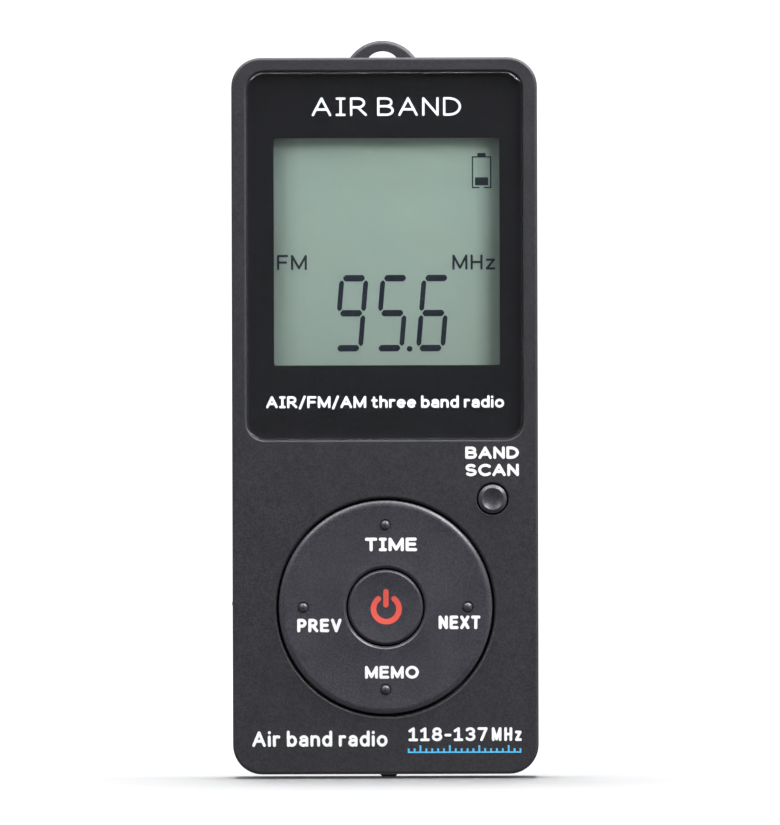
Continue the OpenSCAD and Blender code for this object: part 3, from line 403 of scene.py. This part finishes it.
body_colour = (0.0270, 0.0260, 0.0325, 1.0)
key_colour = (0.0560, 0.0540, 0.0655, 1.0)
cell_low, cell_high = box_mm("cell_left")
jacket_line = [cell_low.z + (cell_high.z - cell_low.z) * share for share in (0.66, 0.68)]
MATERIALS = {
    "case_plastic": moulded("case_plastic", body_colour, worn=0.35, waves=0.004),
    "key_plastic": moulded("key_plastic", key_colour, grain=0.13, depth=0.007, rough=(0.30, 0.40), worn=0.4),
    "lens_acrylic": clear_plate("lens_acrylic", (0.93, 0.94, 0.96, 1.0)),
    "black_print": ink("black_print", srgb(9, 9, 12), gloss=(0.5, 0.65), shine=0.15),
    "adhesive_foam": foam("adhesive_foam", srgb(26, 26, 28), 0.2),
    "polariser_film": display_film_painted_light_and_shade("polariser_film"),
    "lcd_glass": clear_plate("lcd_glass", (0.80, 0.88, 0.83, 1.0)),
    "reflector_film": metal("reflector_film", (0.72, 0.74, 0.72, 1), (0.3, 0.5), (1, 1, 0.1), 0.2),
    "light_guide_acrylic": clear_plate("light_guide_acrylic", (0.90, 0.95, 0.92, 1.0)),
    "led_resin": moulded("led_resin", srgb(222, 214, 150), 0.2, 0.004, (0.15, 0.3)),
    "holder_plastic": moulded("holder_plastic", srgb(208, 208, 204), 0.3, 0.008, (0.4, 0.6)),
    "zebra_rubber": foam("zebra_rubber", srgb(196, 138, 146), 0.12),
    "board_laminate": board("board_laminate"),
    "chip_resin": moulded("chip_resin", srgb(30, 30, 33), 0.12, 0.012, (0.55, 0.75)),
    "crystal_can": metal("crystal_can", (0.66, 0.67, 0.69, 1), (0.15, 0.3), (1, 0.1, 1)),
    "capacitor_sleeve": moulded("capacitor_sleeve", srgb(44, 58, 92), 0.5, 0.01, (0.25, 0.4)),
    "ceramic_chip": moulded("ceramic_chip", srgb(176, 152, 118), 0.1, 0.006, (0.4, 0.6)),
    "switch_metal": metal("switch_metal", (0.62, 0.63, 0.65, 1), (0.2, 0.38), (0.1, 1, 1)),
    "plunger_plastic": moulded("plunger_plastic", srgb(224, 220, 206), 0.25, 0.006, (0.35, 0.5)),
    "ferrite": moulded("ferrite", srgb(62, 60, 60), 0.1, 0.02, (0.5, 0.75)),
    "copper_wire": wound("copper_wire", srgb(190, 112, 60)),
    "grommet_rubber": foam("grommet_rubber", srgb(34, 34, 36), 0.15),
    "jack_plastic": moulded("jack_plastic", srgb(30, 30, 32), 0.15, 0.006, (0.3, 0.45)),
    "contact_brass": metal("contact_brass", (0.74, 0.56, 0.27, 1), (0.18, 0.34), (0.1, 1, 1)),
    "speaker_steel": metal("speaker_steel", (0.56, 0.57, 0.59, 1), (0.25, 0.42), (1, 0.2, 1)),
    "magnet_metal": metal("magnet_metal", (0.42, 0.43, 0.45, 1), (0.3, 0.5), (1, 1, 1), 0.2),
    "cone_paper": paper("cone_paper", srgb(48, 47, 46)),
    "gasket_foam": foam("gasket_foam", srgb(28, 28, 28), 0.3),
    "grille_fabric": cloth("grille_fabric", srgb(30, 30, 32)),
    "lead_insulation": moulded("lead_insulation", srgb(150, 30, 28), 0.15, 0.004, (0.3, 0.45)),
    "cell_can": metal("cell_can", (0.68, 0.69, 0.70, 1), (0.15, 0.32), (1, 1, 0.1)),
    "cell_jacket": sleeve("cell_jacket", srgb(28, 62, 92), srgb(196, 122, 44), jacket_line),
    "spring_wire": metal("spring_wire", (0.62, 0.63, 0.65, 1), (0.18, 0.32), (1, 1, 1)),
    "screw_steel": metal("screw_steel", (0.34, 0.34, 0.36, 1), (0.28, 0.42), (1, 1, 1), 0.15, 0.006),
}
for node in nodes.values():
    for entry in node.material_slots:
        entry.material = MATERIALS[entry.material.name.split(".")[0]]

white_ink = ink("white_ink", srgb(244, 245, 246))
red_ink = ink("red_ink", srgb(218, 84, 72))
blue_ink = ink("blue_ink", srgb(84, 188, 236))
segment_ink = ink("segment_ink", srgb(14, 20, 30), gloss=(0.5, 0.65), shine=0.2)


# ---------------------------------------------------------------- flat shapes, in millimetres


def flat_polygons(outlines):
    """A flat bmesh in X and Y from closed outlines."""
    bm = bmesh.new()
    for outline in outlines:
        bm.faces.new([bm.verts.new((x, y, 0)) for x, y in outline])
    return bm


def box(x0, z0, x1, z1):
    return [(x0, z0), (x1, z0), (x1, z1), (x0, z1)]


def stroke(points, width, steps=8):
    """The outline of a line of the given width through the points, with round ends."""
    half = width / 2
    left, right = [], []
    for k, (x, y) in enumerate(points):
        a = points[max(k - 1, 0)]
        b = points[min(k + 1, len(points) - 1)]
        length = math.hypot(b[0] - a[0], b[1] - a[1])
        nx, ny = -(b[1] - a[1]) / length, (b[0] - a[0]) / length
        left.append((x + nx * half, y + ny * half))
        right.append((x - nx * half, y - ny * half))

    def cap(at, towards):
        turn = math.atan2(towards[1], towards[0]) + math.pi / 2
        turns = [turn - math.pi * k / steps for k in range(1, steps)]
        return [(at[0] + half * math.cos(t), at[1] + half * math.sin(t)) for t in turns]

    end = (points[-1][0] - points[-2][0], points[-1][1] - points[-2][1])
    start = (points[0][0] - points[1][0], points[0][1] - points[1][1])
    return (left + cap(points[-1], end) + right[::-1] + cap(points[0], start))[::-1]


def runs(points, sharpest=28):
    """A line's smooth stretches: it is cut wherever it turns more than this many degrees."""
    points = [p for k, p in enumerate(points) if k == 0 or math.dist(p, points[k - 1]) > 1e-4]
    out, run = [], [points[0]]
    for k in range(1, len(points)):
        run.append(points[k])
        if k == len(points) - 1:
            break
        a = math.atan2(points[k][1] - points[k - 1][1], points[k][0] - points[k - 1][0])
        b = math.atan2(points[k + 1][1] - points[k][1], points[k + 1][0] - points[k][0])
        if abs(math.remainder(b - a, 2 * math.pi)) > math.radians(sharpest):
            out.append(run)
            run = [points[k]]
    return out + [run]


def bow(cx, cy, rx, ry, start, end, steps=14):
    """Points on an ellipse between two angles in degrees."""
    angles = [math.radians(start + (end - start) * k / steps) for k in range(steps + 1)]
    return [(cx + rx * math.cos(a), cy + ry * math.sin(a)) for a in angles]


def hoop(cx, cy, rx, ry):
    return [bow(cx, cy, rx, ry, 0, 180), bow(cx, cy, rx, ry, 180, 360)]


# Letters as lines, measured between the outer strokes' middles: a capital is 1 high, and a small letter 0.68.
LETTERS = {
    "A": [[(0, 0), (0.34, 1), (0.68, 0)], [(0.12, 0.33), (0.56, 0.33)]],
    "B": [
        [(0, 0), (0, 1), (0.30, 1)] + bow(0.30, 0.76, 0.22, 0.24, 90, -90) + [(0, 0.52)],
        [(0.28, 0.52)] + bow(0.32, 0.26, 0.25, 0.26, 90, -90) + [(0, 0)],
    ],
    "C": [bow(0.38, 0.5, 0.38, 0.5, 48, 312, 20)],
    "D": [[(0, 0), (0, 1), (0.20, 1)] + bow(0.20, 0.5, 0.42, 0.5, 90, -90) + [(0, 0)]],
    "E": [[(0.50, 1), (0, 1), (0, 0), (0.52, 0)], [(0, 0.52), (0.46, 0.52)]],
    "F": [[(0.50, 1), (0, 1), (0, 0)], [(0, 0.50), (0.44, 0.50)]],
    "H": [[(0, 0), (0, 1)], [(0.58, 0), (0.58, 1)], [(0, 0.5), (0.58, 0.5)]],
    "I": [[(0.15, 0), (0.15, 1)], [(0, 1), (0.30, 1)], [(0, 0), (0.30, 0)]],
    "M": [[(0, 0), (0, 1), (0.38, 0.06), (0.76, 1), (0.76, 0)]],
    "N": [[(0, 0), (0, 1), (0.56, 0), (0.56, 1)]],
    "O": hoop(0.40, 0.5, 0.40, 0.5),
    "P": [[(0, 0), (0, 1), (0.27, 1)] + bow(0.27, 0.72, 0.25, 0.28, 90, -90) + [(0, 0.44)]],
    "R": [
        [(0, 0), (0, 1), (0.27, 1)] + bow(0.27, 0.73, 0.24, 0.27, 90, -90) + [(0, 0.46)],
        [(0.26, 0.46), (0.58, 0)],
    ],
    "S": [bow(0.27, 0.75, 0.26, 0.25, 38, 270) + bow(0.27, 0.25, 0.28, 0.25, 90, -145)[1:]],
    "T": [[(0, 1), (0.56, 1)], [(0.28, 1), (0.28, 0)]],
    "V": [[(0, 1), (0.31, 0), (0.62, 1)]],
    "X": [[(0, 0), (0.56, 1)], [(0, 1), (0.56, 0)]],
    "/": [[(0, -0.14), (0.34, 1.06)]],
    "-": [[(0, 0.42), (0.30, 0.42)]],
    "1": [[(0, 0.80), (0.24, 1), (0.24, 0)], [(0, 0), (0.46, 0)]],
    "3": [bow(0.24, 0.76, 0.24, 0.24, 150, -90) + bow(0.24, 0.26, 0.26, 0.26, 90, -150)[1:]],
    "7": [[(0, 1), (0.50, 1), (0.18, 0)]],
    "8": hoop(0.26, 0.76, 0.22, 0.24) + hoop(0.26, 0.26, 0.26, 0.26),
    "a": [
        bow(0.21, 0.46, 0.20, 0.22, 150, 0) + [(0.41, 0)],
        [(0.41, 0.38), (0.20, 0.38)] + bow(0.20, 0.19, 0.20, 0.19, 90, 270) + [(0.41, 0.06)],
    ],
    "b": [[(0, 0), (0, 1.04)], *hoop(0.23, 0.34, 0.23, 0.34)],
    "c": [bow(0.25, 0.34, 0.24, 0.34, 52, 308)],
    "d": [[(0.46, 0), (0.46, 1.04)], *hoop(0.23, 0.34, 0.23, 0.34)],
    "e": [[(0.01, 0.36), (0.47, 0.36)] + bow(0.24, 0.34, 0.24, 0.34, 5, 312, 18)],
    "h": [[(0, 0), (0, 1.04)], bow(0.22, 0.44, 0.21, 0.24, 180, 0) + [(0.43, 0)]],
    "i": [[(0, 0), (0, 0.66)], [(0, 0.99), (0, 1.01)]],
    "l": [[(0, 0), (0, 1.04)]],
    "n": [[(0, 0), (0, 0.68)], bow(0.22, 0.44, 0.21, 0.24, 180, 0) + [(0.43, 0)]],
    "o": hoop(0.25, 0.34, 0.25, 0.34),
    "r": [[(0, 0), (0, 0.68)], bow(0.20, 0.44, 0.20, 0.24, 180, 65)],
    "t": [[(0.12, 0.94), (0.12, 0.17)] + bow(0.28, 0.17, 0.16, 0.17, 180, 285, 8), [(0, 0.66), (0.30, 0.66)]],
    "u": [
        [(0, 0.68), (0, 0.26)] + bow(0.21, 0.26, 0.21, 0.26, 180, 360) + [(0.42, 0.68)],
        [(0.42, 0), (0.42, 0.68)],
    ],
    "v": [[(0, 0.68), (0.22, 0), (0.44, 0.68)]],
    "z": [[(0.01, 0.68), (0.42, 0.68), (0, 0), (0.44, 0)]],
}


def joined(outlines):
    """Closed outlines that may overlap, as one flat bmesh with no overlaps."""
    points, faces = [], []
    for outline in outlines:
        faces.append(list(range(len(points), len(points) + len(outline))))
        points += [Vector(p) for p in outline]
    made, _, triangles, _, _, sources = delaunay_2d_cdt(points, [], faces, 0, 1e-5)
    bm = bmesh.new()
    vertices = [bm.verts.new((x, y, 0)) for x, y in made]
    for triangle, source in zip(triangles, sources):
        if source:
            bm.faces.new([vertices[k] for k in triangle])
    loose = [v for v in bm.verts if not v.link_faces]
    bmesh.ops.delete(bm, geom=loose, context="VERTS")
    return bm


def lettering(words, width, height, weight=0.235, gap=0.12, space=0.42):
    """Words as a flat bmesh, centred on the origin and fitted to a width and a capital height. weight is the
    strokes' width, and gap the space between letters, as shares of the height."""
    line = weight * height
    spans = [0 if c == " " else max(x for run in LETTERS[c] for x, y in run) for c in words]
    after = [space if c == " " else 0 if d == " " else gap for c, d in zip(words, words[1:])] + [0]
    shown = sum(c != " " for c in words)
    widen = (width - shown * line - sum(after) * height) / sum(spans)
    pen, outlines = -width / 2, []
    for c, span, step in zip(words, spans, after):
        if c != " ":
            for run in LETTERS[c]:
                placed = [(pen + line / 2 + x * widen, (y - 0.5) * (height - line)) for x, y in run]
                outlines += [stroke(part, line) for part in runs(placed)]
            pen += line + span * widen
        pen += step * height
    return joined(outlines)


# How thick a print is, in millimetres
INK = 0.02


def raised(name, bm, at, surface, material, body, thickness=INK, sink=0.004):
    """A flat bmesh becomes a thin solid that lies on a surface and sinks a little into it. at is the place of
    its origin in X and Z, and surface gives the surface's Y at any X and Z. All in millimetres."""
    for v in bm.verts:
        v.co = (v.co.x + at[0], 0, v.co.y + at[1])
    grown = bmesh.ops.extrude_face_region(bm, geom=bm.faces[:], use_keep_orig=True)
    front = {v for v in grown["geom"] if isinstance(v, bmesh.types.BMVert)}
    for v in bm.verts:
        y = surface(v.co.x, v.co.z)
        v.co.y = y - thickness if v in front else y + sink
    bmesh.ops.recalc_face_normals(bm, faces=bm.faces)
    bmesh.ops.scale(bm, vec=(MM, MM, MM), verts=bm.verts)
    mesh = bpy.data.meshes.new(name)
    bm.to_mesh(mesh)
    bm.free()
    mesh.materials.append(material)
    piece = bpy.data.objects.new(name, mesh)
    scene.collection.objects.link(piece)
    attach(piece, body)


def level(y):
    """A surface that is flat and faces the front."""
    return lambda x, z: y


# ---------------------------------------------------------------- where things are, in millimetres

power = centre_mm("power_button")
band_key = centre_mm("band_scan_button")
screen = centre_mm("lcd_polariser")
shell_low = box_mm("front_shell")[0]
lens_low, lens_high = box_mm("display_lens")
case_face = level(shell_low.y)
under_lens = level(box_mm("lens_mask")[0].y)
on_film = level(box_mm("lcd_polariser")[0].y)
key_face_y = box_mm("power_button")[0].y

# The ring's face is a shallow trough: the radius of its middle, half its width, and its depth
RING_MID, RING_HALF, RING_DISH = 9.825, 4.075, 0.15
# The power key's face is part of a ball: the dish's radius and depth
DISH_R, DISH_DEEP = 4.75, 0.35
ball = (DISH_R**2 + DISH_DEEP**2) / (2 * DISH_DEEP)


def ring_surface(x, z):
    r = math.hypot(x - power.x, z - power.z)
    return key_face_y + RING_DISH * (1 - ((r - RING_MID) / RING_HALF) ** 2)


def dish_surface(x, z):
    r = math.hypot(x - power.x, z - power.z)
    return key_face_y + DISH_DEEP - ball + math.sqrt(ball**2 - r**2)


# ---------------------------------------------------------------- legends on the keys and the case

for name, words, dx, dz, width, height in (
    ("legend_time", "TIME", 0.78, 8.62, 7.15, 1.87),
    ("legend_prev", "PREV", -9.09, -2.48, 6.09, 1.86),
    ("legend_next", "NEXT", 10.15, -2.10, 5.74, 1.87),
    ("legend_memo", "MEMO", 0.85, -8.93, 7.39, 1.76),
):
    place = (power.x + dx, power.z + dz)
    raised(name, lettering(words, width, height), place, ring_surface, white_ink, "nav_ring")

for name, words, dz in (("legend_band", "BAND", 6.36), ("legend_scan", "SCAN", 3.98)):
    place = (band_key.x - 0.06, band_key.z + dz)
    raised(name, lettering(words, 7.35, 1.70), place, case_face, white_ink, "case")

for name, words, x, dz, width, height, weight, gap in (
    ("legend_air_band", "Air band radio", -9.06, 4.87, 18.57, 2.15, 0.19, 0.13),
    ("legend_range", "118-137", 8.54, 5.47, 10.87, 1.9, 0.20, 0.15),
    ("legend_unit", "MHz", 16.6, 5.47, 4.1, 1.9, 0.20, 0.2),
):
    place = (x, shell_low.z + dz)
    raised(name, lettering(words, width, height, weight, gap), place, case_face, white_ink, "case")

# the standby sign: a bar over an arc that is open to both sides of its top
SIGN_OPENING, ARC_R, ARC_WEIGHT, BAR_WEIGHT = 38, 1.75, 0.77, 0.72
arc = bow(0.10, -0.23, ARC_R, ARC_R, 90 - SIGN_OPENING, SIGN_OPENING - 270, 48)
bar = [(0.06, 2.15 - 0.46 * k) for k in range(5)]
sign = joined([stroke(arc, ARC_WEIGHT), stroke(bar, BAR_WEIGHT)])
raised("sign_standby", sign, (power.x, power.z), dish_surface, red_ink, "power_button", thickness=0.025)

# a tuning scale under the range: one tick for each whole megahertz, and a taller one at each fifth
SCALE_FIRST, SCALE_LAST, SCALE_LENGTH = 118, 137, 15.6
SCALE_BASE, TICK_WIDTH, TICK_HEIGHT, TALL_TICK = 0.2, 0.26, 0.62, 1.05
scale_parts = [box(-SCALE_LENGTH / 2, 0, SCALE_LENGTH / 2, SCALE_BASE)]
for megahertz in range(SCALE_FIRST, SCALE_LAST + 1):
    along = (megahertz - SCALE_FIRST) / (SCALE_LAST - SCALE_FIRST)
    left = (SCALE_LENGTH - TICK_WIDTH) * (along - 0.5) - TICK_WIDTH / 2
    scale_parts.append(box(left, 0, left + TICK_WIDTH, TICK_HEIGHT if megahertz % 5 else TALL_TICK))
raised("tuning_scale", joined(scale_parts), (10.8, shell_low.z + 2.9), case_face, blue_ink, "case")

# ---------------------------------------------------------------- prints under the lens and the display image

title = lettering("AIR BAND", 20.5, 2.55, weight=0.125, gap=0.24, space=0.55)
raised("lens_title", title, (0.31, lens_high.z - 4.73), under_lens, white_ink, "case", sink=0.0)
bands_line = lettering("AIR/FM/AM three band radio", 32.68, 1.65, weight=0.20, gap=0.12)
raised("lens_bands", bands_line, (0.02, lens_low.z + 5.11), under_lens, white_ink, "case", sink=0.0)


def shown(name, bm, dx, dz):
    """A dark shape on the display, at a place from the middle of its film."""
    raised(name, bm, (screen.x + dx, screen.z + dz), on_film, segment_ink, "case", sink=0.002)


# A digit leans by SLANT. ROW and SIDE go from its middle to the top bar and to the upright bars. A bar has a
# half length, a half thickness, the length of its tapered ends, half the width of its blunt tips, and the
# bit by which one of its long edges passes the other.
SLANT = math.tan(math.radians(4.84))
DIGIT_PITCH, ROW, SIDE = 5.65, 4.81, 1.66
FLAT_HALF, FLAT_THICK, FLAT_TAPER, FLAT_TIP, FLAT_MORE = 1.48, 0.445, 0.30, 0.12, 0.02
UP_HALF, UP_THICK, UP_TAPER, UP_TIP, UP_MORE = 2.08, 0.335, 0.34, 0.10, 0.08
SEGMENTS = {"9": "abcdfg", "5": "afgcd", "6": "afgecd"}


def segment(code):
    """One segment's outline: a bar with two blunt points, slanted with the digit."""
    if code in "agd":
        x, z = 0, {"a": ROW, "g": 0, "d": -ROW}[code]
        tip, t, blunt, flat = FLAT_HALF, FLAT_THICK, FLAT_TIP, FLAT_HALF - FLAT_TAPER
        long = flat + FLAT_MORE
        outline = [
            (-tip, blunt), (-long, t), (long, t), (tip, blunt),
            (tip, -blunt), (flat, -t), (-flat, -t), (-tip, -blunt),
        ]
    else:
        x = -SIDE if code in "fe" else SIDE
        z = ROW / 2 if code in "fb" else -ROW / 2
        tip, t, blunt, flat = UP_HALF, UP_THICK, UP_TIP, UP_HALF - UP_TAPER
        long = flat + UP_MORE
        outline = [
            (-blunt, tip), (blunt, tip), (t, long), (t, -long),
            (blunt, -tip), (-blunt, -tip), (-t, -flat), (-t, flat),
        ]
    return [(x + px + (z + pz) * SLANT, z + pz) for px, pz in outline]


for column, digit in enumerate("956"):
    shapes = [segment(code) for code in SEGMENTS[digit]]
    shown(f"digit_{column + 1}", flat_polygons(shapes), DIGIT_PITCH * column - 4.91, -9.44)
DOT_R = 0.39
shown("decimal_point", flat_polygons([bow(0, 0, DOT_R, DOT_R, 0, 345, 23)]), 3.11, -14.35)
shown("unit_band", lettering("FM", 4.11, 2.09, weight=0.15, gap=0.18), -13.03, -2.45)
shown("unit_frequency", lettering("MHz", 5.91, 2.09, weight=0.15, gap=0.2), 11.97, -2.45)

battery = [
    box(-1.34, -2.3, -1.16, 2.1), box(1.16, -2.3, 1.34, 2.1), box(-1.16, 1.92, 1.16, 2.1),
    box(-0.57, 2.1, 0.57, 2.54), box(-1.16, -2.3, -0.3, -2.12), box(0.3, -2.3, 1.16, -2.12),
    box(-0.9, -1.9, 0.9, -0.8),
]
shown("battery_sign", flat_polygons(battery), 13.06, 9.99)

# ---------------------------------------------------------------- floor, lights, camera

# How strongly the floor glows of itself, its radius, and the greys of its near part and of its far part
FLOOR_GLOW, FLOOR_RADIUS = 0.03, 6.0
FLOOR_NEAR, FLOOR_FAR = ((0.72, 0.72, 0.72, 1), (0.75, 0.75, 0.75, 1)), (0.20, 0.20, 0.20, 1)


def floor_material():
    """A pale floor. Its near part takes the radio's shadow, and further off it glows evenly."""
    p = Paint("floor_paint", (0.7, 0.7, 0.7, 1), 0.8)
    length = p.add("VectorMath", operation="LENGTH")
    p.join(p.place, length.inputs[0])
    away = p.spread_mm(length.outputs["Value"], 0, 1, 50, 220)
    near = p.blend(p.spread(p.noise(40.0, detail=4.0), 0, 1), *FLOOR_NEAR)
    p.colour(p.blend(away, near, FLOOR_FAR))
    p.normal(p.bump(p.noise(0.8, detail=3.0), 0.01))
    path = p.add("LightPath")
    glow = p.math("ADD", away, FLOOR_GLOW)
    p.join(p.math("MULTIPLY", glow, path.outputs["Is Camera Ray"]), p.shader.inputs["Emission Strength"])
    p.shader.inputs["Emission Color"].default_value = (1, 1, 1, 1)
    p.shader.inputs["Specular IOR Level"].default_value = 0.0
    return p.material


def studio_floor():
    """A round floor that the radio stands on. It sends no light back to the radio."""
    bm = bmesh.new()
    bmesh.ops.create_circle(bm, cap_ends=True, segments=96, radius=FLOOR_RADIUS)
    mesh = bpy.data.meshes.new("studio_floor")
    bm.to_mesh(mesh)
    bm.free()
    mesh.materials.append(floor_material())
    made = bpy.data.objects.new("studio_floor", mesh)
    scene.collection.objects.link(made)
    made.visible_diffuse = False
    made.visible_glossy = False
    return made


# The light from the surroundings: the white that the camera sees, and a tent round the radio that is dark in
# front of it and brighter to its sides, so that flat faces stay dark and rounded edges catch a line of light
BACKDROP, TENT_FRONT, TENT_SIDE = 1.1, 0.06, 0.48
TENT_COLOUR = (0.95, 0.97, 1.0, 1)
TENT_FROM, TENT_TO = -0.85, -0.45


def studio_world():
    """A white backdrop for the camera, and the tent for everything else."""
    world = bpy.data.worlds.new("studio")
    world.use_nodes = True
    tree = world.node_tree
    tree.nodes.clear()

    def add(kind):
        return tree.nodes.new("ShaderNode" + kind)

    seen, lit = add("Background"), add("Background")
    seen.inputs["Color"].default_value = (1, 1, 1, 1)
    seen.inputs["Strength"].default_value = BACKDROP
    lit.inputs["Color"].default_value = TENT_COLOUR
    toward, apart, tent = add("TexCoord"), add("SeparateXYZ"), add("MapRange")
    for socket, value in (
        ("From Min", TENT_FROM),
        ("From Max", TENT_TO),
        ("To Min", TENT_FRONT),
        ("To Max", TENT_SIDE),
    ):
        tent.inputs[socket].default_value = value
    path, either, output = add("LightPath"), add("MixShader"), add("OutputWorld")
    for source, target in (
        (toward.outputs["Generated"], apart.inputs[0]),
        (apart.outputs["Y"], tent.inputs["Value"]),
        (tent.outputs["Result"], lit.inputs["Strength"]),
        (path.outputs["Is Camera Ray"], either.inputs[0]),
        (lit.outputs[0], either.inputs[1]),
        (seen.outputs[0], either.inputs[2]),
        (either.outputs[0], output.inputs["Surface"]),
    ):
        tree.links.new(source, target)
    return world


floor = studio_floor()
scene.world = studio_world()
middle = Vector((0, 0, 0.05))


def softbox(name, place, size, power_w, aim=middle):
    """A rectangular area light that faces a point, the middle of the radio unless aim names another."""
    lamp = bpy.data.lights.new(name, "AREA")
    lamp.shape = "RECTANGLE"
    lamp.size, lamp.size_y = size
    lamp.energy = power_w
    holder = bpy.data.objects.new(name, lamp)
    holder.location = place
    holder.rotation_mode = "QUATERNION"
    holder.rotation_quaternion = (aim - Vector(place)).to_track_quat("-Z", "Y")
    holder.visible_camera = False
    scene.collection.objects.link(holder)
    return holder


def around(tilt, turn, distance):
    """A place at an angle off the view axis, turned about it from the right-hand side, in degrees."""
    t, a = math.radians(tilt), math.radians(turn)
    return middle + distance * Vector((math.sin(t) * math.cos(a), -math.cos(t), math.sin(t) * math.sin(a)))


def light_only(lamps, name, things):
    """The lamps light these things and nothing else."""
    lit = bpy.data.collections.new(name)
    for thing in things:
        lit.objects.link(thing)
    for lamp in lamps:
        lamp.light_linking.receiver_collection = lit


# Large softboxes far off the view axis light the edges, and two small ones nearer to it draw the thin glints
radio_lights = (
    softbox("right_light", around(74, 52, 0.50), (0.40, 0.26), 4.9),
    softbox("left_light", around(74, 124, 0.62), (0.44, 0.28), 2.2),
    softbox("top_light", around(86, 90, 0.45), (0.50, 0.24), 3.0),
    softbox("right_spark", around(52, 45, 0.80), (0.14, 0.14), 2.0),
    softbox("left_spark", around(52, 135, 0.80), (0.12, 0.12), 1.0),
)
light_only(radio_lights, "lit_radio", [o for o in scene.objects if o.type == "MESH" and o is not floor])
behind = Vector((0.0, 0.34, 0.0))
floor_light = softbox("floor_light", behind + Vector((0.0, 0.0, 0.70)), (0.24, 0.90), 6.6, aim=behind)
light_only([floor_light], "lit_floor", [floor])

# The camera looks along +Y at a point near the radio's middle. VIEW_HEIGHT is the height that it takes in at
# the case's face. SENSOR is in millimetres, and the lengths are in metres.
DISTANCE, VIEW_HEIGHT, SENSOR = 2.5, 0.11326, 36
AIM_X, AIM_Z, ROLL = 0.00069, 0.05026, math.radians(0.16)
camera_data = bpy.data.cameras.new("camera")
camera = bpy.data.objects.new("camera", camera_data)
scene.collection.objects.link(camera)
camera_data.sensor_width = SENSOR
camera_data.lens = SENSOR * (DISTANCE + shell_low.y * MM) / VIEW_HEIGHT
camera_data.clip_start, camera_data.clip_end = 0.05, 50
upright = Matrix.Rotation(ROLL, 4, "Y") @ Matrix.Rotation(math.pi / 2, 4, "X")
camera.matrix_world = Matrix.Translation((AIM_X, -DISTANCE, AIM_Z)) @ upright
scene.camera = camera
scene.view_settings.view_transform = "Standard"
scene.view_settings.exposure = 0.12
